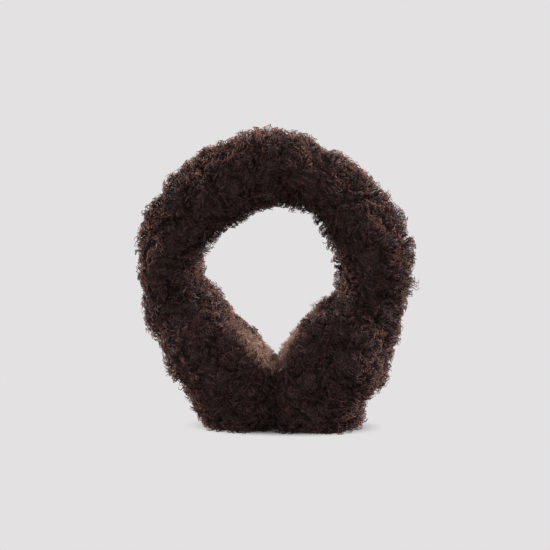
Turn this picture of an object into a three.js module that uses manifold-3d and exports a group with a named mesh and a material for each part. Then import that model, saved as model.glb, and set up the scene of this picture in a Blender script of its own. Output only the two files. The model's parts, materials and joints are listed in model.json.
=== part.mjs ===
// Curly shearling earmuffs, standing upright on the undersides of their two ear pads.
// Millimetres, +Z up. The front faces -Y, and left (-X) and right (+X) are as seen from the front.
// Each solid is the outer form of its deep fur, which is as soft as a cushion.

import * as THREE from 'three';
import * as BufferGeometryUtils from 'three/addons/utils/BufferGeometryUtils.js';
import Module from 'manifold-3d';

const wasm = await Module();
wasm.setup();

// ---- driving dimensions ----

const GAP = 0.3; // between neighbouring pieces
const RING_HEIGHT = 106.7; // centre of the headband's curve above the surface it stands on
const SEAM_ANGLE = 4.8; // the seam of the two sleeves, in degrees from the top, positive to the right
const SEAM_PINCH = 3.2; // how far the stitches draw the fur in at the seam
const SEAM_REACH = 2.5; // how far from the seam, in degrees, the pinch fades out
const MEETING_X = 2.5; // where the two pads press against each other, right of the headband's centre

// The fur sleeve of the headband, from end to end.
// angle: degrees from the top, negative to the left; radius: of the sleeve's centreline;
// width: half the sleeve across the curve; depth: half the sleeve from front to back.
const HEADBAND_SECTIONS = [
  { angle: -132, radius: 65, width: 10, depth: 10 },
  { angle: -125, radius: 68, width: 20.5, depth: 21 },
  { angle: -116, radius: 68, width: 23.4, depth: 24.5 },
  { angle: -104, radius: 68.2, width: 23, depth: 26 },
  { angle: -87, radius: 70.7, width: 21.8, depth: 26.5 },
  { angle: -70, radius: 69.3, width: 22.3, depth: 26 },
  { angle: -50, radius: 66, width: 25.5, depth: 27 },
  { angle: -25, radius: 66.5, width: 25.9, depth: 27.5 },
  { angle: -4, radius: 66.4, width: 26.2, depth: 27 },
  { angle: 12, radius: 68.4, width: 24, depth: 27 },
  { angle: 30, radius: 65.9, width: 22.9, depth: 26.5 },
  { angle: 48, radius: 65.9, width: 21.6, depth: 25.5 },
  { angle: 70, radius: 66.8, width: 24.8, depth: 27 },
  { angle: 87, radius: 68.3, width: 24.5, depth: 26.5 },
  { angle: 100, radius: 67.6, width: 23.3, depth: 25.5 },
  { angle: 113, radius: 68, width: 24.2, depth: 24 },
  { angle: 121, radius: 66, width: 17, depth: 20 },
  { angle: 128, radius: 63, width: 9, depth: 10 },
];
const SLEEVE_SIDES = 28;
const SLEEVE_STEPS = 26;

// The ear pads. x, z: the pad's middle; tilt: of its face from upright, in degrees;
// inner, outer: its thickness to the ear side and to the outer side of the middle;
// height: half the pad along its face; depth: half the pad from front to back.
const EAR_PADS = {
  left: { side: -1, x: -34.2, z: 45, tilt: 34, inner: 24.5, outer: 30, height: 52, depth: 51 },
  right: { side: 1, x: 38, z: 45, tilt: 32, inner: 28, outer: 33, height: 52, depth: 53 },
};
const PAD_FULLNESS = 2.8; // 2 is an ellipsoid, and higher is a fuller cushion
const PAD_SIDES = 40;
const PAD_RINGS = 22;

// Where a pad swells or is dented. down, ear: the direction of the place from the pad's middle, down
// its face and to the ear side; back: how far round to the rear, in degrees; spread, across: how far
// it reaches that way and front to back, in degrees; rise: in mm, negative for a dent.
const SWELLS = {
  left: [
    { down: 1, ear: 0.3, back: 0, spread: 36, across: 58, rise: 8.5 },
    { down: 0.5, ear: 1, back: 0, spread: 26, across: 40, rise: 5 },
    { down: -0.3, ear: 1, back: 0, spread: 24, across: 60, rise: -4.5 },
    { down: -0.3, ear: -1, back: -10, spread: 18, across: 30, rise: 2.5 },
    { down: 0.15, ear: -1, back: 0, spread: 12, across: 40, rise: -1.5 },
    { down: 0.65, ear: -1, back: 0, spread: 20, across: 35, rise: 4 },
    { down: 0.2, ear: 0, back: -60, spread: 30, across: 22, rise: -1.5 },
  ],
  right: [
    { down: 1, ear: 0.3, back: 0, spread: 36, across: 58, rise: 8.5 },
    { down: 0.6, ear: 1, back: 0, spread: 24, across: 40, rise: 4 },
    { down: -0.1, ear: 1, back: 0, spread: 22, across: 60, rise: 1.5 },
    { down: -1.2, ear: 1, back: 0, spread: 16, across: 60, rise: -2 },
    { down: -0.15, ear: -1, back: 0, spread: 14, across: 35, rise: 4 },
    { down: 0.22, ear: -1, back: 0, spread: 10, across: 36, rise: -4.5 },
    { down: 0.6, ear: -1, back: 0, spread: 17, across: 40, rise: 8 },
    { down: -0.4, ear: -0.8, back: -50, spread: 30, across: 25, rise: 1.5 },
  ],
};

// The plush faces let into the ear side of each pad.
const LINING_RADIUS = 38; // of the round face
const LINING_PILE = 9; // how deep it goes into the pad
const LINING_SIDES = 32;
const LINING_RINGS = 12;
const HALF_SPACE = 400; // side of the blocks that flatten the pads

// ---- small tools ----

const rad = THREE.MathUtils.degToRad;

function toSolid(geometry) {
  const bare = geometry.clone();
  bare.deleteAttribute('normal');
  bare.deleteAttribute('uv');
  const merged = BufferGeometryUtils.mergeVertices(bare, 1e-4);
  return new wasm.Manifold(new wasm.Mesh({
    numProp: 3,
    vertProperties: new Float32Array(merged.attributes.position.array),
    triVerts: new Uint32Array(merged.index.array),
  }));
}

function toGeometry(solid) {
  const mesh = solid.getMesh();
  const geometry = new THREE.BufferGeometry();
  geometry.setAttribute('position', new THREE.BufferAttribute(mesh.vertProperties, 3));
  geometry.setIndex(new THREE.BufferAttribute(mesh.triVerts, 1));
  geometry.computeVertexNormals();
  return geometry;
}

// Moves every point of a geometry to where the function sends it.
function reshape(geometry, place) {
  const position = geometry.attributes.position;
  const point = new THREE.Vector3();
  for (let i = 0; i < position.count; i += 1) {
    point.fromBufferAttribute(position, i);
    const { x, y, z } = place(point);
    position.setXYZ(i, x, y, z);
  }
  return geometry;
}

// ---- headband sleeves ----

// The sleeve's section at an angle, eased between the table's rows.
function sectionAt(angle) {
  const last = HEADBAND_SECTIONS.length - 1;
  let row = 0;
  while (row < last - 1 && HEADBAND_SECTIONS[row + 1].angle < angle) {
    row += 1;
  }
  const before = HEADBAND_SECTIONS[row];
  const after = HEADBAND_SECTIONS[row + 1];
  const share = THREE.MathUtils.smoothstep(angle, before.angle, after.angle);
  const pinch = SEAM_PINCH * Math.exp(-(((angle - SEAM_ANGLE) / SEAM_REACH) ** 2));
  return {
    radius: THREE.MathUtils.lerp(before.radius, after.radius, share),
    width: THREE.MathUtils.lerp(before.width, after.width, share) - pinch,
    depth: THREE.MathUtils.lerp(before.depth, after.depth, share) - pinch,
  };
}

// A sleeve from one angle to another: a closed cylinder bent round the headband's curve.
function sleeve(from, to) {
  const tube = new THREE.CylinderGeometry(1, 1, 1, SLEEVE_SIDES, SLEEVE_STEPS);
  reshape(tube, ({ x, y, z }) => {
    const share = (1 - Math.cos(Math.PI * (y + 0.5))) / 2; // steps crowd at both ends
    const angle = THREE.MathUtils.lerp(from, to, share);
    const section = sectionAt(angle);
    const reach = section.radius + x * section.width;
    return new THREE.Vector3(
      reach * Math.sin(rad(angle)),
      z * section.depth,
      RING_HEIGHT + reach * Math.cos(rad(angle)),
    );
  });
  return toSolid(tube);
}

// ---- ear pads ----

// The pad's own frame in the world: x down the face, y to the ear, z to one side.
function padFrame(pad) {
  const tilt = rad(pad.tilt);
  const down = new THREE.Vector3(-pad.side * Math.sin(tilt), 0, -Math.cos(tilt));
  const ear = new THREE.Vector3(-pad.side * Math.cos(tilt), 0, Math.sin(tilt));
  const across = new THREE.Vector3().crossVectors(down, ear);
  return new THREE.Matrix4().makeBasis(down, ear, across).setPosition(pad.x, 0, pad.z);
}

// How far a pad's swells and dents lift its surface in one direction from its middle.
function swellAt(swells, down, ear, back) {
  const round = Math.asin(THREE.MathUtils.clamp(back, -1, 1));
  return swells.reduce((sum, swell) => {
    const turn = Math.atan2(ear, down) - Math.atan2(swell.ear, swell.down);
    const along = Math.atan2(Math.sin(turn), Math.cos(turn)) / rad(swell.spread);
    const across = (round - rad(swell.back)) / rad(swell.across);
    return sum + swell.rise * Math.exp(-along * along - across * across);
  }, 0);
}

// The full cushion of a pad, before it is flattened, grown by a margin all round.
function cushion(pad, swells, margin) {
  const ball = new THREE.SphereGeometry(1, PAD_SIDES, PAD_RINGS);
  const rearward = pad.side; // the frame's third axis runs to the rear on the right pad only
  reshape(ball, (point) => {
    const round = Math.hypot(point.x, point.z);
    const full = (round ** PAD_FULLNESS + Math.abs(point.y) ** PAD_FULLNESS) ** (-1 / PAD_FULLNESS);
    const lift = swellAt(swells, point.x, point.y, rearward * point.z) + margin;
    const thickness = point.y > 0 ? pad.inner : pad.outer;
    const formed = new THREE.Vector3(
      point.x * full * pad.height,
      point.y * full * thickness,
      point.z * full * pad.depth,
    );
    return formed.addScaledVector(point, lift);
  });
  return toSolid(ball.applyMatrix4(padFrame(pad)));
}

// The lens-shaped core of the plush face, centred on the pad's ear side.
function plushCore(pad, margin) {
  const ball = new THREE.SphereGeometry(1, LINING_SIDES, LINING_RINGS);
  ball.scale(LINING_RADIUS + margin, LINING_PILE + margin, LINING_RADIUS + margin);
  ball.translate(0, pad.inner, 0);
  return toSolid(ball.applyMatrix4(padFrame(pad)));
}

// Everything above the surface and on the pad's own side of the middle.
function ownQuarter(pad) {
  const block = new THREE.BoxGeometry(HALF_SPACE, HALF_SPACE, HALF_SPACE);
  block.translate(MEETING_X + pad.side * (HALF_SPACE + GAP) / 2, 0, HALF_SPACE / 2);
  return toSolid(block);
}

// ---- assembly ----

const furMaterial = new THREE.MeshStandardMaterial({ color: 0x3a2a27, roughness: 0.95, metalness: 0 });
const plushMaterial = new THREE.MeshStandardMaterial({ color: 0x77594f, roughness: 0.95, metalness: 0 });

const earmuffs = new THREE.Group();

function addPiece(name, solid, material) {
  const mesh = new THREE.Mesh(toGeometry(solid), material.clone());
  mesh.name = name;
  earmuffs.add(mesh);
}

const seamRadius = sectionAt(SEAM_ANGLE).radius - sectionAt(SEAM_ANGLE).width;
const halfSeam = THREE.MathUtils.radToDeg(GAP / 2 / seamRadius);
const sleeves = {
  left: sleeve(HEADBAND_SECTIONS[0].angle, SEAM_ANGLE - halfSeam),
  right: sleeve(SEAM_ANGLE + halfSeam, HEADBAND_SECTIONS[HEADBAND_SECTIONS.length - 1].angle),
};

for (const side of ['left', 'right']) {
  const pad = EAR_PADS[side];
  const room = cushion(pad, SWELLS[side], GAP);
  addPiece(`headband_${side}`, sleeves[side].subtract(room), furMaterial);
}

for (const side of ['left', 'right']) {
  const pad = EAR_PADS[side];
  const form = cushion(pad, SWELLS[side], 0).intersect(ownQuarter(pad));
  addPiece(`ear_pad_${side}`, form.subtract(plushCore(pad, GAP)), furMaterial);
  addPiece(`ear_lining_${side}`, form.intersect(plushCore(pad, 0)), plushMaterial);
}

// The origin is under the middle of the bounding box, on the surface.
const extent = new THREE.Box3().setFromObject(earmuffs, true);
const middle = extent.getCenter(new THREE.Vector3());
earmuffs.position.set(-middle.x, -middle.y, -extent.min.z);

export default earmuffs;
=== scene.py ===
"""Curly shearling earmuffs: the looks of the part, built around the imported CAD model.

Each CAD solid is the outer form of deep fur. Every one gets a cushion a little inside that form,
which shows only between the curls, and a pile of curly locks that grows out of it.
"""

import json
import math

import bmesh
import bpy
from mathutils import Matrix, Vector
from mathutils.bvhtree import BVHTree

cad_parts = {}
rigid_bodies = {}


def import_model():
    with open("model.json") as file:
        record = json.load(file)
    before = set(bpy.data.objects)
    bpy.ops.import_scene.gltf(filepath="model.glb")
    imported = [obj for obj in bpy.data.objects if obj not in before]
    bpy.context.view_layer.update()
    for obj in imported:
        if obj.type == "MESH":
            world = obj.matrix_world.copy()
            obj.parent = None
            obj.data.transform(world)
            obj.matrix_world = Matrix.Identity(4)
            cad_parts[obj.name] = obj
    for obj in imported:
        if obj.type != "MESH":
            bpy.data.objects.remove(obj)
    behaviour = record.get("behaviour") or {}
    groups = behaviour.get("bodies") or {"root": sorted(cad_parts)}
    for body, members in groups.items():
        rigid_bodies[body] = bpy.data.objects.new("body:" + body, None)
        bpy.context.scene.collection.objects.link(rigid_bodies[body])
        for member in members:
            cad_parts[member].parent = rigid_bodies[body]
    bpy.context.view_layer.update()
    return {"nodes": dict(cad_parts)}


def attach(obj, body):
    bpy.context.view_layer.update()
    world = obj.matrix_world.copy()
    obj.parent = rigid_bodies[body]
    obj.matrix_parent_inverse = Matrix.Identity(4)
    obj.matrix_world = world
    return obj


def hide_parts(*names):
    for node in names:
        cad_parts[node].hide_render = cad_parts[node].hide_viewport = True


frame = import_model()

bl_info = {
    "name": "Curly shearling earmuffs",
    "version": (1, 0, 0),
    "blender": (4, 5, 0),
    "location": "View3D > Sidebar > Earmuffs",
    "description": "Fur, plush faces and studio for a pair of curly shearling earmuffs",
    "category": "Object",
}

MM = 0.001
BODY = "root"
BAKE_MAP = "OFBake"  # across: the lock's tint, up: from its root to its tip

# The CAD nodes and their fur. bridge: about how far the tips beside a seam reach over it;
# the painted shading entry: painted light that makes the locks lighter where shearling and plush
# meet, or painted shade that makes them darker where it is negative; seed: of the random draws.
HEADBANDS = {
    "headband_left": {"bridge": 4.5 * MM, "painted_edge_shading": 0.3, "seed": 11},
    "headband_right": {"bridge": 4.5 * MM, "painted_edge_shading": 0.3, "seed": 12},
}
EAR_PADS = {
    "ear_pad_left": {"bridge": 5.0 * MM, "painted_edge_shading": 0.4, "seed": 21},
    "ear_pad_right": {"bridge": 4.5 * MM, "painted_edge_shading": 0.0, "seed": 22},
}
LININGS = {
    "ear_lining_left": {"bridge": 0.0, "painted_edge_shading": -0.7, "seed": 31},
    "ear_lining_right": {"bridge": 0.0, "painted_edge_shading": -1.4, "seed": 32},
}


# ---------------------------------------------------------------- colours and nodes

MATH = "ShaderNodeMath"
VECTOR = "ShaderNodeVectorMath"
HALF = (0.5, 0.5, 0.5)  # the middle of a noise's colour
NOISE_LOW, NOISE_HIGH = 0.3, 0.7  # almost all of a noise lies between these


def linear(hex_colour):
    """An sRGB hex colour as linear RGBA."""
    parts = [int(hex_colour[i : i + 2], 16) / 255 for i in (1, 3, 5)]
    return [p / 12.92 if p <= 0.04045 else ((p + 0.055) / 1.055) ** 2.4 for p in parts] + [1.0]


def add(tree, kind, inputs=None, **settings):
    """One new node with its settings, and its inputs set or linked by name or number."""
    node = tree.nodes.new(kind)
    for name, value in settings.items():
        setattr(node, name, value)
    for key, value in (inputs or {}).items():
        socket = node.inputs[key]
        if isinstance(value, bpy.types.NodeSocket):
            tree.links.new(value, socket)
        else:
            socket.default_value = value
    return node


def work(tree, kind, operation, *inputs, **named):
    """What an operation makes of its inputs, which are given in order or by name."""
    return add(tree, kind, {**dict(enumerate(inputs)), **named}, operation=operation).outputs[0]


def product(tree, *factors):
    """Any number of factors multiplied, from the first to the last."""
    result = factors[0]
    for factor in factors[1:]:
        result = work(tree, MATH, "MULTIPLY", result, factor)
    return result


def varied(tree, share, least, more):
    """From least at a share of 0 to least + more at a share of 1."""
    return work(tree, MATH, "ADD", least, work(tree, MATH, "MULTIPLY", share, more))


def along_surface(tree, vector, normal):
    """The part of a vector that lies along the surface with that normal."""
    return work(tree, VECTOR, "SUBTRACT", vector, work(tree, VECTOR, "PROJECT", vector, normal))


# ---------------------------------------------------------------- sizes and colours to change


class PileSizes(bpy.types.PropertyGroup):
    """The sizes of one kind of pile."""

    depth: bpy.props.FloatProperty(
        name="Pile depth", description="From the cushion to the outer form of the fur",
        default=4.6 * MM, unit="LENGTH", precision=4)
    relief: bpy.props.FloatProperty(
        name="Tuft relief", description="About how much higher the cushion is in a tuft's middle",
        default=2.8 * MM, unit="LENGTH", precision=4)
    swell: bpy.props.FloatProperty(
        name="Clump swell", description="How far the cushion swells in a clump of tufts",
        default=3.0 * MM, unit="LENGTH", precision=4)
    spacing: bpy.props.FloatProperty(
        name="Lock spacing", description="Least distance between two locks at their roots",
        default=1.31 * MM, unit="LENGTH", precision=5)
    rise: bpy.props.FloatProperty(
        name="Lock rise", description="About how far a lock stands out from the cushion",
        default=5.1 * MM, unit="LENGTH", precision=4)
    thickness: bpy.props.FloatProperty(
        name="Lock thickness", description="Across a lock near its root, on average",
        default=0.57 * MM, unit="LENGTH", precision=5)
    curl: bpy.props.FloatProperty(
        name="Curl radius", description="Of the curl at a lock's tip, on average",
        default=2.2 * MM, unit="LENGTH", precision=5)
    turns: bpy.props.FloatProperty(
        name="Curl turns", description="How often a lock turns round on its way out", default=1.5)
    tuft: bpy.props.FloatProperty(
        name="Tuft size", description="Across a tuft of locks that curl together",
        default=5.8 * MM, unit="LENGTH", precision=4)
    gather: bpy.props.FloatProperty(
        name="Gather", description="How far the tips of a tuft draw together",
        default=0.9, subtype="FACTOR", min=0, max=1)
    lean: bpy.props.FloatProperty(
        name="Lean", description="About how far the pile leans over in its swirls",
        default=3.4 * MM, unit="LENGTH", precision=4)
    tint_spread: bpy.props.FloatProperty(
        name="Tint spread", description="How much tufts and locks differ in brightness", default=0.4)


class EarmuffSettings(bpy.types.PropertyGroup):
    """What a user would change on the earmuffs and their stage."""

    fur: bpy.props.PointerProperty(
        type=PileSizes, name="Shearling", description="Sizes of the shearling's pile")
    # The roots are darker than the tips: painted shade deep in the pile, and painted light at the tips.
    root_colour: bpy.props.FloatVectorProperty(
        name="Fur root", description="Colour of the shearling at its roots",
        size=4, min=0, max=1, subtype="COLOR", default=linear("#3d2f2d"))
    tip_colour: bpy.props.FloatVectorProperty(
        name="Fur tip", description="Colour of the shearling at its tips",
        size=4, min=0, max=1, subtype="COLOR", default=linear("#634f4c"))
    glow_colour: bpy.props.FloatVectorProperty(
        name="Fur against the light", description="Colour of light through the shearling's tips",
        size=4, min=0, max=1, subtype="COLOR", default=linear("#d49c86"))
    # The plush's darker roots and lighter tips are likewise painted shade and painted light.
    plush_root_colour: bpy.props.FloatVectorProperty(
        name="Plush root", description="Colour of the plush faces at the roots",
        size=4, min=0, max=1, subtype="COLOR", default=linear("#8f6f63"))
    plush_tip_colour: bpy.props.FloatVectorProperty(
        name="Plush tip", description="Colour of the plush faces at the tips",
        size=4, min=0, max=1, subtype="COLOR", default=linear("#cba695"))
    floor_colour: bpy.props.FloatVectorProperty(
        name="Floor", description="Colour of the plain pale floor",
        size=4, min=0, max=1, subtype="COLOR", default=linear("#e3e1e2"))
    camera_azimuth: bpy.props.FloatProperty(
        name="Camera azimuth", description="Turn of the camera to the right of the front",
        default=math.radians(6), subtype="ANGLE")
    camera_elevation: bpy.props.FloatProperty(
        name="Camera elevation", description="Height of the camera over the aim, as an angle",
        default=math.radians(7), subtype="ANGLE")
    camera_distance: bpy.props.FloatProperty(
        name="Camera distance", description="From the camera to the aim",
        default=1.7, unit="LENGTH")


# The sizes of the plush faces' pile, which is finer and denser than the shearling and curls less.
PLUSH = {
    "depth": 4.5 * MM,
    "relief": 1.2 * MM,
    "swell": 0.0,
    "spacing": 1.0 * MM,
    "rise": 5.6 * MM,
    "thickness": 0.45 * MM,
    "curl": 1.0 * MM,
    "turns": 1.0,
    "tuft": 3.8 * MM,
    "gather": 0.75,
    "lean": 3.0 * MM,
    "tint_spread": 1.2,
}


# ---------------------------------------------------------------- materials of the fur

# sheen: weight of the fine loose fibres; through: how much of a lock's look is light that comes
# through it; tints: brightness of the darkest and the lightest lock.
SHEARLING_LOOK = {"sheen": 0.15, "through": 0.58, "tints": (0.6, 2.6)}
PLUSH_LOOK = {"sheen": 0.4, "through": 0.5, "tints": (0.2, 1.5)}
GLOW_TINTS = (0.85, 1.15)  # brightness of the light through the darkest and the lightest lock
ROOT_END = 0.15  # along a lock: up to here it has its root's darker colour, painted shade
GLOW_START = 0.4  # along a lock: from here on the light through it warms
MOTTLE_SIZE = 1.6 * MM  # across the mottles of the deep pile
MOTTLES = (0.6, 1.3)  # brightness of the darkest and the lightest mottle
MOTTLE_BUMP = 0.6 * MM  # how deep the mottles look


def lock_colour(tree, place, start, root_colour, end_colour, tints):
    """A lock's colour along its way from root to tip, darker at the root as painted shade deep in the
    pile, and made darker or lighter by its own tint.
    """
    along = add(tree, "ShaderNodeMapRange",
                {"Value": place.outputs["Y"], "From Min": start, "From Max": 1.0},
                interpolation_type="SMOOTHSTEP")
    ramp = add(tree, "ShaderNodeMix",
               {"Factor": along.outputs["Result"], "A": tuple(root_colour), "B": tuple(end_colour)},
               data_type="RGBA")
    tint = add(tree, "ShaderNodeMapRange",
               {"Value": place.outputs["X"], "To Min": tints[0], "To Max": tints[1]})
    tinted = add(tree, "ShaderNodeHueSaturation",
                 {"Value": tint.outputs["Result"], "Color": ramp.outputs[2]})
    return tinted.outputs[0]


def pile_material(name, root_colour, tip_colour, glow_colour, look):
    """Curly wool pile, crimped, with no shine: darker at the root, which is painted shade deep in the
    pile, and lighter at the tip, which is painted light.

    The eye sees a matt mass, darker between its curls and warmer where light comes through their
    tips, so the colour runs along each lock as painted shade and light, each lock has its own tint,
    its tip lets light through, and a weak sheen stands for the fine loose fibres.
    """
    material = bpy.data.materials.new(name)
    material.use_nodes = True
    tree = material.node_tree
    tree.nodes.clear()
    baked = add(tree, "ShaderNodeUVMap", uv_map=BAKE_MAP)
    place = add(tree, "ShaderNodeSeparateXYZ", {0: baked.outputs[0]})
    colour = lock_colour(tree, place, ROOT_END, root_colour, tip_colour, look["tints"])
    skin = add(tree, "ShaderNodeBsdfPrincipled",
               {"Base Color": colour, "Roughness": 0.75, "IOR": 1.55, "Specular IOR Level": 0.25,
                "Sheen Weight": look["sheen"], "Sheen Roughness": 0.5, "Sheen Tint": tuple(tip_colour)})
    glow = lock_colour(tree, place, GLOW_START, root_colour, glow_colour, GLOW_TINTS)
    through = add(tree, "ShaderNodeBsdfTranslucent", {"Color": glow})
    both = add(tree, "ShaderNodeMixShader",
               {0: look["through"], 1: skin.outputs[0], 2: through.outputs[0]})
    add(tree, "ShaderNodeOutputMaterial", {"Surface": both.outputs[0]})
    return material


def backing_material(name, colour):
    """Felted wool, the pile's roots seen deep between the curls.

    The eye sees the roots' darker colour, painted shade deep in the pile, mottled and with hardly
    any shine.
    """
    material = bpy.data.materials.new(name)
    material.use_nodes = True
    tree = material.node_tree
    tree.nodes.clear()
    place = add(tree, "ShaderNodeTexCoord")
    noise = add(tree, "ShaderNodeTexNoise",
                {"Vector": place.outputs["Object"], "Scale": 1 / MOTTLE_SIZE, "Detail": 3.0})
    shade = add(tree, "ShaderNodeMapRange",
                {"Value": noise.outputs[0], "From Min": NOISE_LOW, "From Max": NOISE_HIGH,
                 "To Min": MOTTLES[0], "To Max": MOTTLES[1]})
    tinted = add(tree, "ShaderNodeHueSaturation",
                 {"Value": shade.outputs["Result"], "Color": tuple(colour)})
    bump = add(tree, "ShaderNodeBump",
               {"Strength": 0.8, "Distance": MOTTLE_BUMP, "Height": noise.outputs[0]})
    skin = add(tree, "ShaderNodeBsdfPrincipled",
               {"Base Color": tinted.outputs[0], "Normal": bump.outputs[0],
                "Roughness": 0.9, "Specular IOR Level": 0.1})
    add(tree, "ShaderNodeOutputMaterial", {"Surface": skin.outputs[0]})
    return material


def shearling(settings):
    """The shearling's material, made once."""
    return bpy.data.materials.get("curly_shearling_pile") or pile_material(
        "curly_shearling_pile", settings.root_colour, settings.tip_colour,
        settings.glow_colour, SHEARLING_LOOK)


def shearling_backing(settings):
    """The material of the shearling's deep pile, made once."""
    return bpy.data.materials.get("shearling_deep_pile") or backing_material(
        "shearling_deep_pile", settings.root_colour)


# ---------------------------------------------------------------- geometry nodes: the cushion

TUFT_EDGE = 0.8  # of a tuft's size: this far from its middle, its relief is lowest
TUFT_HEIGHT = 0.6  # of the relief: up in a tuft's middle, and as far down between tufts
CLUMP_SIZE = 13 * MM  # across the bigger clumps of the shearling
CLUMP_SEED = 17.7  # picks one of the many ways that the clumps could lie
NO_LIMIT = -9.0  # metres, so low that it holds no point back
FLOOR_LEVEL = (NO_LIMIT, NO_LIMIT, 0.0)  # the least that the places of a cushion's points may be


def new_tree(name, sockets):
    """An empty geometry tree with named inputs, from a table of their kinds."""
    tree = bpy.data.node_groups.new(name, "GeometryNodeTree")
    for label, kind in {"Geometry": "Geometry", **sockets}.items():
        tree.interface.new_socket(label, in_out="INPUT", socket_type="NodeSocket" + kind)
    tree.interface.new_socket("Geometry", in_out="OUTPUT", socket_type="NodeSocketGeometry")
    return tree, tree.nodes.new("NodeGroupInput"), tree.nodes.new("NodeGroupOutput")


def tuft_relief_tree():
    """Raises a cushion's surface into the tufts that the locks gather in, and into clumps."""
    tree, given, result = new_tree("tuft_relief", {
        "Tuft size": "Float",
        "Relief": "Float",
        "Swell": "Float",
    })
    size = given.outputs
    place = add(tree, "GeometryNodeInputPosition").outputs[0]
    normal = add(tree, "GeometryNodeInputNormal").outputs[0]
    scale = work(tree, MATH, "DIVIDE", 1.0, size["Tuft size"])
    tuft = add(tree, "ShaderNodeTexVoronoi", {"Vector": place, "Scale": scale})
    tuft = add(tree, "ShaderNodeMapRange",
               {"Value": tuft.outputs["Distance"], "From Min": 0.0, "From Max": TUFT_EDGE,
                "To Min": TUFT_HEIGHT, "To Max": -TUFT_HEIGHT}, interpolation_type="SMOOTHSTEP")
    clump = add(tree, "ShaderNodeTexNoise",
                {"Vector": place, "W": CLUMP_SEED, "Scale": 1 / CLUMP_SIZE, "Detail": 0.0},
                noise_dimensions="4D")
    clump = add(tree, "ShaderNodeMapRange",
                {"Value": clump.outputs[0], "From Min": NOISE_LOW, "From Max": NOISE_HIGH,
                 "To Min": -1.0})
    lift = work(tree, MATH, "ADD", product(tree, tuft.outputs["Result"], size["Relief"]),
                product(tree, clump.outputs["Result"], size["Swell"]))
    grown = add(tree, "GeometryNodeInputNamedAttribute", {"Name": "open"}, data_type="FLOAT")
    lift = product(tree, lift, grown.outputs[0])
    raised = work(tree, VECTOR, "ADD", place, work(tree, VECTOR, "SCALE", normal, Scale=lift))
    above = work(tree, VECTOR, "MAXIMUM", raised, FLOOR_LEVEL)
    moved = add(tree, "GeometryNodeSetPosition", {"Geometry": size["Geometry"], "Position": above})
    tree.links.new(moved.outputs[0], result.inputs[0])
    return tree


def relief_tree():
    """The tree that raises a cushion's tufts, made once."""
    return bpy.data.node_groups.get("tuft_relief") or tuft_relief_tree()


# ---------------------------------------------------------------- geometry nodes: the pile

LOCK_STEPS = 5  # points along a lock
LOCK_SIDES = 3
MOST_LOCKS = 4e6  # for each square metre, far more than the spacing lets stand
SECOND_DRAW = 97.31  # turns a lock's random number into another one
LOOSE_SHARE = 0.15  # of the locks are single fine ones that stand free of their tuft
LOOSE_WIDTH = 0.6  # across such a lock, beside the others

# A pair holds the least, and how much a random number from 0 to 1 adds to it at most. A power
# says how something grows on the way along a lock, from nothing at its root.
CURL_WAY = (0.5, 0.47, 0.53)  # taken away from a tuft's three random numbers, to leave any direction
CURL_DELAY = 0.9  # radians, at most, between where two locks of a tuft start to curl
CURL_POWER = 0.8
CURL_RANGE = (0.6, 0.8)  # of the curl's radius
SWIRL_SIZE = 16 * MM  # across a swirl, in which the pile leans one way
SWIRL_GAIN = 4.0  # a noise goes about a quarter up and down, and a swirl goes all the way
LEAN_POWER = 1.5
BRIDGE_POWER = 1.3
BRIDGE_RANGE = (0.25, 1.1)  # of the reach over a seam
BOW_RANGE = (0.58, 0.26)  # of a half turn: how far a lock has bowed over at its tip
LOCK_RISE = (0.7, 0.4)  # of the full rise, from lock to lock
PATCH_RISE = (0.35, 1.3)  # the same, from patch to patch
TUFT_RISE = (0.72, 0.6)  # the same, from tuft to tuft
PATCH_SIZE = 9 * MM  # across the patches of higher, lighter pile
KINK_SIZE = 2.4 * MM  # from one kink in the wool to the next
KINK = 2.9 * MM  # a tip moves by about a quarter of this
PRESSED_LEVEL = (NO_LIMIT, NO_LIMIT, 0.35 * MM)  # the least for a lock's middle line
TAPER = 0.65  # how much thinner a lock is at its tip
TAPER_POWER = 1.8
WIDTH_RANGE = (0.32, 0.36)  # of the thickness, from a lock's middle to its side
TUFT_TINT, LOCK_TINT, PATCH_TINT = 0.55, 0.1, 0.5  # how much each random number adds to a tint
TINT_LIMIT = 0.92  # the lightest tint, which leaves room on the map for the way round a lock
MAP_START, MAP_ROUND = 0.02, 0.05  # on the map: where the darkest tint is, and once round a lock


def capture(tree, geometry, wanted):
    """Keeps fields on a geometry's points, from a table of their kinds and sources."""
    held = add(tree, "GeometryNodeCaptureAttribute", {"Geometry": geometry}, domain="POINT")
    for name, (kind, source) in wanted.items():
        held.capture_items.new(kind, name)
        tree.links.new(source, held.inputs[name])
    return held.outputs["Geometry"], {name: held.outputs[name] for name in wanted}


def lock_roots(tree, size):
    """A point for each lock, all over the open cushion, with what the lock has to know."""
    read = {}
    for name, kind in {"open": "FLOAT", "tall": "FLOAT", "bridge": "FLOAT_VECTOR", "edge": "FLOAT"}.items():
        node = add(tree, "GeometryNodeInputNamedAttribute", {"Name": name}, data_type=kind)
        read[name] = node.outputs[0]
    points = add(tree, "GeometryNodeDistributePointsOnFaces",
                 {"Mesh": size["Geometry"], "Distance Min": size["Spacing"], "Density Max": MOST_LOCKS,
                  "Density Factor": read["open"], "Seed": size["Seed"]}, distribute_method="POISSON")
    place = add(tree, "GeometryNodeInputPosition").outputs[0]
    chance = add(tree, "FunctionNodeRandomValue", {"Seed": size["Seed"]}, data_type="FLOAT").outputs[1]
    other = work(tree, MATH, "FRACT", product(tree, chance, SECOND_DRAW))
    return capture(tree, points.outputs["Points"], {
        "root": ("VECTOR", place),
        "normal": ("VECTOR", points.outputs["Normal"]),
        "chance": ("FLOAT", chance),
        "other": ("FLOAT", other),
        "tall": ("FLOAT", read["tall"]),
        "bridge": ("VECTOR", read["bridge"]),
        "edge": ("FLOAT", read["edge"]),
    })


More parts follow.
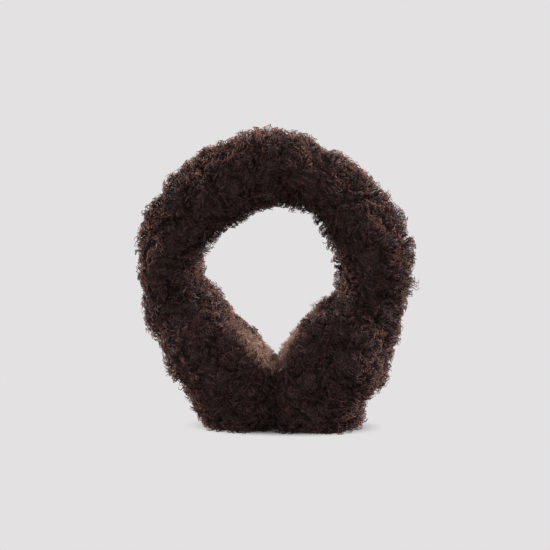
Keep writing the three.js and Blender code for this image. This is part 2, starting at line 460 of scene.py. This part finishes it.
def lock_company(tree, size, lock):
    """The tuft and the patch that a lock's root is in, and whether it stands free of its tuft."""
    scale = work(tree, MATH, "DIVIDE", 1.0, size["Tuft size"])
    tuft = add(tree, "ShaderNodeTexVoronoi", {"Vector": lock["root"], "Scale": scale})
    own = add(tree, "ShaderNodeSeparateXYZ", {0: tuft.outputs["Color"]})
    patch = add(tree, "ShaderNodeTexNoise",
                {"Vector": lock["root"], "Scale": 1 / PATCH_SIZE, "Detail": 1.0})
    return {
        "middle": tuft.outputs["Position"],
        "own": tuft.outputs["Color"],
        "own_start": own.outputs["X"],
        "own_tint": own.outputs["Y"],
        "own_rise": own.outputs["Z"],
        "patch": patch.outputs[0],
        "loose": work(tree, MATH, "GREATER_THAN", lock["other"], 1 - LOOSE_SHARE),
    }


def lock_rise(tree, size, lock):
    """Out from the cushion, with the tip turning back in."""
    bow = varied(tree, lock["other"], *BOW_RANGE)
    up = work(tree, MATH, "SINE", product(tree, lock["along"], math.pi, bow))
    tall = product(tree, varied(tree, lock["chance"], *LOCK_RISE), varied(tree, lock["patch"], *PATCH_RISE),
                   varied(tree, lock["own_rise"], *TUFT_RISE), lock["tall"])
    return work(tree, VECTOR, "SCALE", lock["normal"], Scale=product(tree, up, tall, size["Rise"]))


def lock_gather(tree, size, lock):
    """Towards the middle of the tuft, unless the lock stands free of it."""
    way = work(tree, VECTOR, "SUBTRACT", lock["middle"], lock["root"])
    held = work(tree, MATH, "SUBTRACT", 1.0, lock["loose"])
    share = product(tree, size["Gather"], held, lock["along"])
    return work(tree, VECTOR, "SCALE", along_surface(tree, way, lock["normal"]), Scale=share)


def lock_curl(tree, size, lock):
    """A spiral that widens to the tip, round the way that the whole tuft curls."""
    way = work(tree, VECTOR, "SUBTRACT", lock["own"], CURL_WAY)
    side = work(tree, VECTOR, "NORMALIZE", work(tree, VECTOR, "CROSS_PRODUCT", lock["normal"], way))
    front = work(tree, VECTOR, "CROSS_PRODUCT", lock["normal"], side)
    hand = work(tree, MATH, "SIGN", work(tree, MATH, "SUBTRACT", lock["own_tint"], 0.5))
    start = work(tree, MATH, "ADD", product(tree, lock["own_start"], 2 * math.pi),
                 product(tree, lock["chance"], CURL_DELAY))
    angle = work(tree, MATH, "ADD", start,
                 product(tree, size["Turns"], 2 * math.pi, lock["along"], hand))
    wide = product(tree, size["Curl"], work(tree, MATH, "POWER", lock["along"], CURL_POWER),
                   varied(tree, lock["other"], *CURL_RANGE))
    aside = product(tree, wide, work(tree, MATH, "COSINE", angle))
    ahead = product(tree, wide, work(tree, MATH, "SINE", angle))
    return work(tree, VECTOR, "ADD", work(tree, VECTOR, "SCALE", side, Scale=aside),
                work(tree, VECTOR, "SCALE", front, Scale=ahead))


def lock_lean(tree, size, lock):
    """Over to one side, the same way all over a swirl a few tufts across."""
    swirl = add(tree, "ShaderNodeTexNoise",
                {"Vector": lock["root"], "Scale": 1 / SWIRL_SIZE, "Detail": 1.0})
    way = work(tree, VECTOR, "SUBTRACT", swirl.outputs["Color"], HALF)
    reach = product(tree, size["Lean"], SWIRL_GAIN, work(tree, MATH, "POWER", lock["along"], LEAN_POWER))
    return work(tree, VECTOR, "SCALE", along_surface(tree, way, lock["normal"]), Scale=reach)


def lock_bridge(tree, size, lock):
    """Over a seam beside the lock."""
    reach = product(tree, size["Bridge"], varied(tree, lock["other"], *BRIDGE_RANGE),
                    work(tree, MATH, "POWER", lock["along"], BRIDGE_POWER))
    return work(tree, VECTOR, "SCALE", lock["bridge"], Scale=reach)


def lock_place(tree, size, lock):
    """Where a point of a lock comes to lie."""
    aside = lock_bridge(tree, size, lock)
    for move in (lock_lean, lock_curl, lock_gather):
        aside = work(tree, VECTOR, "ADD", move(tree, size, lock), aside)
    place = work(tree, VECTOR, "ADD", lock["root"], lock_rise(tree, size, lock))
    place = work(tree, VECTOR, "ADD", place, aside)
    kink = add(tree, "ShaderNodeTexNoise", {"Vector": place, "Scale": 1 / KINK_SIZE, "Detail": 1.0})
    kink = work(tree, VECTOR, "SUBTRACT", kink.outputs["Color"], HALF)
    kink = work(tree, VECTOR, "SCALE", kink, Scale=product(tree, lock["along"], KINK))
    return work(tree, VECTOR, "MAXIMUM", work(tree, VECTOR, "ADD", place, kink), PRESSED_LEVEL)


def lock_width(tree, size, lock):
    """From a lock's middle to its side, thinning out to the tip."""
    taper = varied(tree, work(tree, MATH, "POWER", lock["along"], TAPER_POWER), 1.0, -TAPER)
    fine = varied(tree, lock["loose"], 1.0, LOOSE_WIDTH - 1)
    return product(tree, taper, varied(tree, lock["chance"], *WIDTH_RANGE), size["Thickness"], fine)


def lock_tint(tree, size, lock):
    """A lock's brightness among the others, from 0 to the limit, with painted light on the shearling
    and painted shade on the plush where the two meet.
    """
    chances = work(tree, MATH, "ADD", product(tree, lock["other"], LOCK_TINT),
                   product(tree, lock["patch"], PATCH_TINT))
    tint = work(tree, MATH, "ADD", product(tree, lock["own_tint"], TUFT_TINT), chances)
    # The edge adds painted light to the shearling beside the plush faces, and painted shade to the plush
    # beside the shearling.
    tint = work(tree, MATH, "ADD", product(tree, tint, size["Tint spread"]),
                product(tree, lock["edge"], size["Painted edge shading"]))
    return work(tree, MATH, "MINIMUM", work(tree, MATH, "MAXIMUM", tint, 0.0), TINT_LIMIT)


def curly_pile_tree():
    """Curly locks all over a cushion, in tufts that curl together and swirls that lean together."""
    tree, given, result = new_tree("curly_pile", {
        "Spacing": "Float",
        "Rise": "Float",
        "Thickness": "Float",
        "Curl": "Float",
        "Turns": "Float",
        "Tuft size": "Float",
        "Gather": "Float",
        "Lean": "Float",
        "Bridge": "Float",
        "Tint spread": "Float",
        "Painted edge shading": "Float",
        "Seed": "Int",
        "Material": "Material",
    })
    size = given.outputs
    points, lock = lock_roots(tree, size)
    line = add(tree, "GeometryNodeCurvePrimitiveLine", {"End": (0, 0, 1)})
    line = add(tree, "GeometryNodeResampleCurve", {"Curve": line.outputs[0], "Count": LOCK_STEPS})
    lines = add(tree, "GeometryNodeInstanceOnPoints", {"Points": points, "Instance": line.outputs[0]})
    lines = add(tree, "GeometryNodeRealizeInstances", {"Geometry": lines.outputs[0]})
    lock["along"] = add(tree, "GeometryNodeSplineParameter").outputs["Factor"]
    lock.update(lock_company(tree, size, lock))
    shaped = add(tree, "GeometryNodeSetPosition",
                 {"Geometry": lines.outputs[0], "Position": lock_place(tree, size, lock)})

    # A lock is a ring drawn along its line, and the map comes from the places on both.
    shaped, kept = capture(tree, shaped.outputs[0], {
        "along": ("FLOAT", lock["along"]),
        "tint": ("FLOAT", lock_tint(tree, size, lock)),
    })
    ring = add(tree, "GeometryNodeCurvePrimitiveCircle", {"Resolution": LOCK_SIDES, "Radius": 1.0})
    ring, turned = capture(tree, ring.outputs[0], {"round": ("FLOAT", lock["along"])})
    tubes = add(tree, "GeometryNodeCurveToMesh",
                {"Curve": shaped, "Profile Curve": ring, "Scale": lock_width(tree, size, lock),
                 "Fill Caps": True})
    across = work(tree, MATH, "ADD", work(tree, MATH, "ADD", MAP_START, kept["tint"]),
                  product(tree, turned["round"], MAP_ROUND))
    spot = add(tree, "ShaderNodeCombineXYZ", {0: across, 1: kept["along"]})
    mapped = add(tree, "GeometryNodeStoreNamedAttribute",
                 {"Geometry": tubes.outputs[0], "Name": BAKE_MAP, "Value": spot.outputs[0]},
                 data_type="FLOAT2", domain="CORNER")
    smooth = add(tree, "GeometryNodeSetShadeSmooth", {"Geometry": mapped.outputs[0]})
    whole = add(tree, "GeometryNodeRealizeInstances", {"Geometry": smooth.outputs[0]})
    dyed = add(tree, "GeometryNodeSetMaterial",
               {"Geometry": whole.outputs[0], "Material": size["Material"]})
    tree.links.new(dyed.outputs[0], result.inputs[0])
    return tree


def pile_tree():
    """The tree that grows the locks, made once."""
    return bpy.data.node_groups.get("curly_pile") or curly_pile_tree()


def run_tree(source, tree, values, name):
    """What a geometry tree makes of an object, as a new plain mesh object."""
    modifier = source.modifiers.new("build", "NODES")
    modifier.node_group = tree
    for item in tree.interface.items_tree:
        if item.in_out == "INPUT" and item.name in values:
            modifier[item.identifier] = values[item.name]
    bpy.context.view_layer.update()
    graph = bpy.context.evaluated_depsgraph_get()
    mesh = bpy.data.meshes.new_from_object(
        source.evaluated_get(graph), preserve_all_data_layers=True, depsgraph=graph)
    source.modifiers.remove(modifier)
    made = bpy.data.objects.new(name, mesh)
    bpy.context.scene.collection.objects.link(made)
    return made


# ---------------------------------------------------------------- cushions

WELD = 0.0001 * MM  # points of a CAD mesh closer than this are one point
CUSHION_STEP = 2.3 * MM  # between the points of a cushion's surface
SMOOTH_ROUNDS = 4
FAR = 20 * MM  # nothing further away matters
PRESSED = 1.6 * MM  # a neighbour this near, straight out from the fur, presses it bare
FLOOR_REACH = 1.2 * MM  # under this height, what faces down is pressed flat
FACES_DOWN = -0.8  # a surface faces down where its normal's height is under this
GROWS_FROM = 0.25  # evened out, 1 is free and 0 is pressed: fur grows above this
SEAM_REACH = 12 * MM  # beside a seam, the cushion comes up this far away
PLUSH_SEAM = 4 * MM  # the same for a plush face's cushion
SEAM_DEPTH = 0.2  # of the pile's full depth, at the seam itself
SEAM_RISE = 0.75  # of a lock's full rise, at the seam itself
SEAM_LEAN = 7 * MM  # from this near, the locks lean over the seam and close it
# Of a lock's full rise, at the edge of a plush face, in front of its middle and behind it.
EDGE_RISE = {"ear_pad_left": (1.1, 0.4), "ear_pad_right": (1.1, 1.1)}
FUR_PAINTED_LIGHT_REACH = 14 * MM  # beside a plush face, the shearling's painted light reaches this far
PLUSH_PAINTED_SHADE_REACH = 8 * MM  # beside the shearling, the plush's painted shade reaches this far
EVEN_ROUNDS = {"free": 2, "near": 2, "tall": 2, "edge": 1}  # how often each is averaged


def merged_copy(node):
    """A CAD node's mesh as a bmesh with its loose triangles joined."""
    shape = bmesh.new()
    shape.from_mesh(frame["nodes"][node].data)
    bmesh.ops.remove_doubles(shape, verts=shape.verts, dist=WELD)
    return shape


def neighbours_of(node):
    """A search tree of each other CAD node, by name."""
    trees = {}
    for other in frame["nodes"]:
        if other != node:
            shape = merged_copy(other)
            trees[other] = BVHTree.FromBMesh(shape)
            shape.free()
    return trees


def even_form(node):
    """A CAD node's outer form, softened a little and with its points evenly spaced."""
    shape = merged_copy(node)
    mesh = bpy.data.meshes.new(node + "_form")
    shape.to_mesh(mesh)
    shape.free()
    form = bpy.data.objects.new(node + "_form", mesh)
    bpy.context.scene.collection.objects.link(form)
    even = form.modifiers.new("even", "REMESH")
    even.mode = "VOXEL"
    even.voxel_size = CUSHION_STEP
    soft = form.modifiers.new("soft", "SMOOTH")
    soft.iterations = SMOOTH_ROUNDS
    bpy.context.view_layer.update()
    graph = bpy.context.evaluated_depsgraph_get()
    mesh = bpy.data.meshes.new_from_object(form.evaluated_get(graph), depsgraph=graph)
    bpy.data.objects.remove(form)
    return mesh


def evened(values, mesh, rounds):
    """Values on a mesh's points, each averaged with those next to it."""
    for _ in range(rounds):
        total, count = list(values), [1] * len(values)
        for edge in mesh.edges:
            a, b = edge.vertices
            total[a] += values[b]
            total[b] += values[a]
            count[a] += 1
            count[b] += 1
        values = [t / c for t, c in zip(total, count)]
    return values


def is_free(vertex, trees):
    """Whether neither a neighbour nor the floor presses the fur at a point."""
    start = vertex.co - vertex.normal * PRESSED
    hit = any(t.ray_cast(start, vertex.normal, 2 * PRESSED)[0] is not None for t in trees.values())
    floored = vertex.co.z < FLOOR_REACH and vertex.normal.z < FACES_DOWN
    return not (hit or floored)


def rise_beside(node, other, gap, behind):
    """The share of a node's full rise that its locks have this far from another node."""
    low = EDGE_RISE[node][behind] if node in EDGE_RISE and other in LININGS else SEAM_RISE
    return low + (1 - low) * min(1.0, gap / SEAM_REACH)


def survey(node, mesh):
    """What lies round each point of a node's form, in lists.

    free is 1 where nothing presses the fur, near grows from 0 at a seam to 1, tall is the share of
    their full rise that the locks have, edge grows to 1 where plush and shearling meet, for the
    painted light on the shearling and the painted shade on the plush there, and bridge is the way
    over a seam, longest beside it.
    """
    trees = neighbours_of(node)
    seam = PLUSH_SEAM if node in LININGS else SEAM_REACH
    reach = PLUSH_PAINTED_SHADE_REACH if node in LININGS else FUR_PAINTED_LIGHT_REACH
    around = {"free": [], "near": [], "tall": [], "edge": [], "bridge": []}
    for vertex in mesh.vertices:
        around["free"].append(1.0 if is_free(vertex, trees) else 0.0)
        found = [(t.find_nearest(vertex.co, FAR), other) for other, t in trees.items()]
        found = [(f[3], f[0], other) for f, other in found if f[0] is not None]
        gap, place, _ = min(found, default=(FAR, vertex.co, ""), key=lambda item: item[0])
        around["near"].append(min(1.0, gap / seam))
        behind = vertex.co.y > 0
        rises = [rise_beside(node, other, away, behind) for away, _, other in found]
        around["tall"].append(min(rises, default=1.0))
        edges = [1 - away / reach for away, _, other in found if other in LININGS or node in LININGS]
        around["edge"].append(max([0.0] + edges))
        across = place - vertex.co
        across -= vertex.normal * across.dot(vertex.normal)
        if across.length > 0:
            across = across.normalized() * max(0.0, 1 - gap / SEAM_LEAN)
        around["bridge"].append(across)
    for name, rounds in EVEN_ROUNDS.items():
        around[name] = evened(around[name], mesh, rounds)
    return around


def keep_on_points(mesh, name, kind, values):
    """Stores values on a mesh's points under a name, for the geometry trees to read."""
    layer = mesh.attributes.new(name, kind, "POINT")
    layer.data.foreach_set("vector" if kind == "FLOAT_VECTOR" else "value", values)


def cushion(node, sizes):
    """The padded form inside a node's fur.

    Its attributes are open, where fur grows, tall, how high, bridge, the way over a seam beside it,
    and edge, how near it is to where plush and shearling meet.
    """
    mesh = even_form(node)
    around = survey(node, mesh)
    depths = [sizes["depth"] * (SEAM_DEPTH + (1 - SEAM_DEPTH) * near) * free
              for near, free in zip(around["near"], around["free"])]
    places = [vertex.co - vertex.normal * inward for vertex, inward in zip(mesh.vertices, depths)]
    for vertex, place in zip(mesh.vertices, places):
        vertex.co = place
    mesh.update()
    keep_on_points(mesh, "open", "FLOAT", [1.0 if free > GROWS_FROM else 0.0 for free in around["free"]])
    keep_on_points(mesh, "tall", "FLOAT", around["tall"])
    keep_on_points(mesh, "edge", "FLOAT", around["edge"])
    keep_on_points(mesh, "bridge", "FLOAT_VECTOR", [part for way in around["bridge"] for part in way])
    drawn_in = bpy.data.objects.new(node + "_drawn_in", mesh)
    bpy.context.scene.collection.objects.link(drawn_in)
    values = {"Tuft size": sizes["tuft"], "Relief": sizes["relief"], "Swell": sizes["swell"]}
    made = run_tree(drawn_in, relief_tree(), values, node + "_cushion")
    bpy.data.objects.remove(drawn_in)
    made.data.shade_smooth()
    return made


# ---------------------------------------------------------------- fur


def furnish(node, row, sizes, pile, backing):
    """A node's cushion and its pile, in the node's place."""
    base = cushion(node, sizes)
    base.data.materials.clear()
    base.data.materials.append(backing)
    values = {
        "Spacing": sizes["spacing"],
        "Rise": sizes["rise"],
        "Thickness": sizes["thickness"],
        "Curl": sizes["curl"],
        "Turns": sizes["turns"],
        "Tuft size": sizes["tuft"],
        "Gather": sizes["gather"],
        "Lean": sizes["lean"],
        "Bridge": row["bridge"],
        "Tint spread": sizes["tint_spread"],
        "Painted edge shading": row["painted_edge_shading"],
        "Seed": row["seed"],
        "Material": pile,
    }
    locks = run_tree(base, pile_tree(), values, node + "_locks")
    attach(base, BODY)
    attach(locks, BODY)
    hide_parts(node)


def furnish_with_shearling(nodes, settings):
    """The cushions and the curly brown fur of several nodes."""
    sizes = {name: getattr(settings.fur, name) for name in PLUSH}
    for node, row in nodes.items():
        furnish(node, row, sizes, shearling(settings), shearling_backing(settings))


# ---------------------------------------------------------------- stage

PASSED_BY = "passed_by_back_lights"  # a collection of what the back lights leave out
FILLED = "lit_by_opening_fill"  # a collection of all that the fill lights
# strength: watts for each square metre; angle: across the sun, in degrees, and wide is soft;
# place: the way to it; lights: the collection that says what it lights, or None for everything.
SUNS = {
    "soft_key": {"strength": 1.15, "angle": 80, "place": (-1.0, -0.5, 0.85), "lights": None},
    "back_left": {"strength": 14.0, "angle": 30, "place": (-1.0, 0.85, 0.6), "lights": PASSED_BY},
    "back_right": {"strength": 14.0, "angle": 30, "place": (1.0, 0.85, 0.6), "lights": PASSED_BY},
    "opening_fill": {"strength": 6.0, "angle": 90, "place": (0.6, -0.9, 0.9), "lights": FILLED},
}
AIM = (0.2 * MM, 0, 102.6 * MM)  # what the camera looks at
LENS = 166.0  # mm on a 36 mm frame: a long studio lens
CAMERA_REACH = 200  # metres, past the far side of the floor
FLOOR_HALF = 60.0  # metres, from the floor's middle to its sides
SUN_ON_FLOOR = 0.57  # how squarely the soft sun meets the floor
FOOT_MIDDLE = (6 * MM, 0, 0)  # of what stands on the floor
FOOT_RADII = (47 * MM, 28 * MM, 1)
SHADE_REACH = (0.85, 1.5)  # of those radii: where painted glow starts to hide the floor's shade, and where it hides all
GLOW_SHARES = (0.05, 1.0)  # share of the floor's light that is painted glow, there and there


def floor_material(colour):
    """A plain pale floor: matt, with a painted glow that fills its shadows but for its middle.

    The eye sees no shadow on it, except close round what stands there, where its real shade shows.
    """
    material = bpy.data.materials.new("pale_floor_painted_glow")
    material.use_nodes = True
    tree = material.node_tree
    tree.nodes.clear()
    place = add(tree, "ShaderNodeTexCoord")
    away = work(tree, VECTOR, "SUBTRACT", place.outputs["Object"], FOOT_MIDDLE)
    away = work(tree, VECTOR, "DIVIDE", away, FOOT_RADII)
    reach = add(tree, VECTOR, {0: away}, operation="LENGTH")
    share = add(tree, "ShaderNodeMapRange",
                {"Value": reach.outputs["Value"], "From Min": SHADE_REACH[0], "From Max": SHADE_REACH[1],
                 "To Min": GLOW_SHARES[0], "To Max": GLOW_SHARES[1]}, interpolation_type="SMOOTHSTEP")
    # The sun adds to the world's own light on a level surface, so the colour is that much darker.
    lit = 1 + SUNS["soft_key"]["strength"] * SUN_ON_FLOOR / (math.pi * colour[1])
    skin = add(tree, "ShaderNodeBsdfDiffuse", {"Color": (1 / lit, 1 / lit, 1 / lit, 1)})
    # The emission is painted light: a glow that hides the floor's shadows and lights the fur from below.
    glow = add(tree, "ShaderNodeEmission", {"Color": tuple(colour), "Strength": 1.0})
    both = add(tree, "ShaderNodeMixShader",
               {0: share.outputs["Result"], 1: skin.outputs[0], 2: glow.outputs[0]})
    add(tree, "ShaderNodeOutputMaterial", {"Surface": both.outputs[0]})
    return material


def keep_from_back_lights(thing):
    """The back lights are there for the shearling's rim, and pass this object by."""
    passed = bpy.data.collections[PASSED_BY]
    passed.objects.link(thing)
    for place, held in enumerate(passed.objects):
        if held == thing:
            passed.collection_objects[place].light_linking.link_state = "EXCLUDE"


def make_floor(colour):
    """The floor, which the back lights pass by."""
    half = FLOOR_HALF
    mesh = bpy.data.meshes.new("floor")
    mesh.from_pydata([(-half, -half, 0), (half, -half, 0), (half, half, 0), (-half, half, 0)],
                     [], [(0, 1, 2, 3)])
    floor = bpy.data.objects.new("floor", mesh)
    bpy.context.scene.collection.objects.link(floor)
    mesh.materials.append(floor_material(colour))
    keep_from_back_lights(floor)


def make_world(colour):
    """Even light of one colour from everywhere."""
    world = bpy.data.worlds.new("studio")
    world.use_nodes = True
    background = world.node_tree.nodes["Background"]
    background.inputs["Color"].default_value = tuple(colour)
    background.inputs["Strength"].default_value = 1.0
    bpy.context.scene.world = world


def make_sun(name, row):
    """One sun, which lights everything or only what its collection says."""
    sun = bpy.data.lights.new(name, "SUN")
    sun.energy = row["strength"]
    sun.angle = math.radians(row["angle"])
    lamp = bpy.data.objects.new(name, sun)
    lamp.rotation_euler = Vector(row["place"]).to_track_quat("Z", "Y").to_euler()
    if row["lights"]:
        lamp.light_linking.receiver_collection = bpy.data.collections[row["lights"]]
    bpy.context.scene.collection.objects.link(lamp)


def make_camera(settings):
    """The camera, at its distance and angles from what it looks at."""
    azimuth, elevation = settings.camera_azimuth, settings.camera_elevation
    toward = Vector((math.sin(azimuth) * math.cos(elevation),
                     -math.cos(azimuth) * math.cos(elevation),
                     math.sin(elevation)))
    view = bpy.data.cameras.new("camera")
    view.lens = LENS
    view.clip_end = CAMERA_REACH
    camera = bpy.data.objects.new("camera", view)
    camera.location = Vector(AIM) + toward * settings.camera_distance
    camera.rotation_euler = toward.to_track_quat("Z", "Y").to_euler()
    bpy.context.scene.collection.objects.link(camera)
    bpy.context.scene.camera = camera


# ---------------------------------------------------------------- operators


class EARMUFFS_OT_stage(bpy.types.Operator):
    """Builds the plain pale floor, the soft light and the camera"""

    bl_idname = "earmuffs.stage"
    bl_label = "Stage"

    def execute(self, context):
        settings = context.scene.earmuffs
        context.scene.view_settings.view_transform = "Standard"
        for name in (PASSED_BY, FILLED):
            bpy.data.collections.new(name)
        make_floor(settings.floor_colour)
        make_world(settings.floor_colour)
        for name, row in SUNS.items():
            make_sun(name, row)
        make_camera(settings)
        return {"FINISHED"}


class EARMUFFS_OT_headband(bpy.types.Operator):
    """Builds the fur of the two headband sleeves"""

    bl_idname = "earmuffs.headband"
    bl_label = "Headband"

    def execute(self, context):
        furnish_with_shearling(HEADBANDS, context.scene.earmuffs)
        return {"FINISHED"}


class EARMUFFS_OT_ear_pads(bpy.types.Operator):
    """Builds the fur of the two ear pads"""

    bl_idname = "earmuffs.ear_pads"
    bl_label = "Ear pads"

    def execute(self, context):
        furnish_with_shearling(EAR_PADS, context.scene.earmuffs)
        return {"FINISHED"}


class EARMUFFS_OT_linings(bpy.types.Operator):
    """Builds the plush faces on the ear side of the pads"""

    bl_idname = "earmuffs.linings"
    bl_label = "Plush faces"

    def execute(self, context):
        settings = context.scene.earmuffs
        plush = pile_material("plush_face_pile", settings.plush_root_colour,
                              settings.plush_tip_colour, settings.plush_tip_colour, PLUSH_LOOK)
        backing = backing_material("plush_deep_pile", settings.plush_root_colour)
        for node, row in LININGS.items():
            furnish(node, row, PLUSH, plush, backing)
            for thing in (bpy.data.objects[node + "_cushion"], bpy.data.objects[node + "_locks"]):
                keep_from_back_lights(thing)
                bpy.data.collections[FILLED].objects.link(thing)
        return {"FINISHED"}


class EARMUFFS_PT_panel(bpy.types.Panel):
    """Lists the operators and the settings"""

    bl_idname = "EARMUFFS_PT_panel"
    bl_label = "Earmuffs"
    bl_space_type = "VIEW_3D"
    bl_region_type = "UI"
    bl_category = "Earmuffs"

    def draw(self, context):
        for operator in OPERATORS:
            self.layout.operator(operator.bl_idname)
        settings = context.scene.earmuffs
        for name in EarmuffSettings.__annotations__:
            if name != "fur":
                self.layout.prop(settings, name)
        for name in PileSizes.__annotations__:
            self.layout.prop(settings.fur, name)


OPERATORS = (EARMUFFS_OT_stage, EARMUFFS_OT_headband, EARMUFFS_OT_ear_pads, EARMUFFS_OT_linings)
CLASSES = (PileSizes, EarmuffSettings) + OPERATORS + (EARMUFFS_PT_panel,)


def register():
    """Makes the classes and the scene's settings known."""
    for item in CLASSES:
        bpy.utils.register_class(item)
    bpy.types.Scene.earmuffs = bpy.props.PointerProperty(type=EarmuffSettings)


def unregister():
    """Takes the scene's settings and the classes away again."""
    del bpy.types.Scene.earmuffs
    for item in reversed(CLASSES):
        bpy.utils.unregister_class(item)


def main():
    """Builds the whole thing."""
    register()
    bpy.ops.earmuffs.stage()
    bpy.ops.earmuffs.headband()
    bpy.ops.earmuffs.ear_pads()
    bpy.ops.earmuffs.linings()


if __name__ == "__main__":
    main()
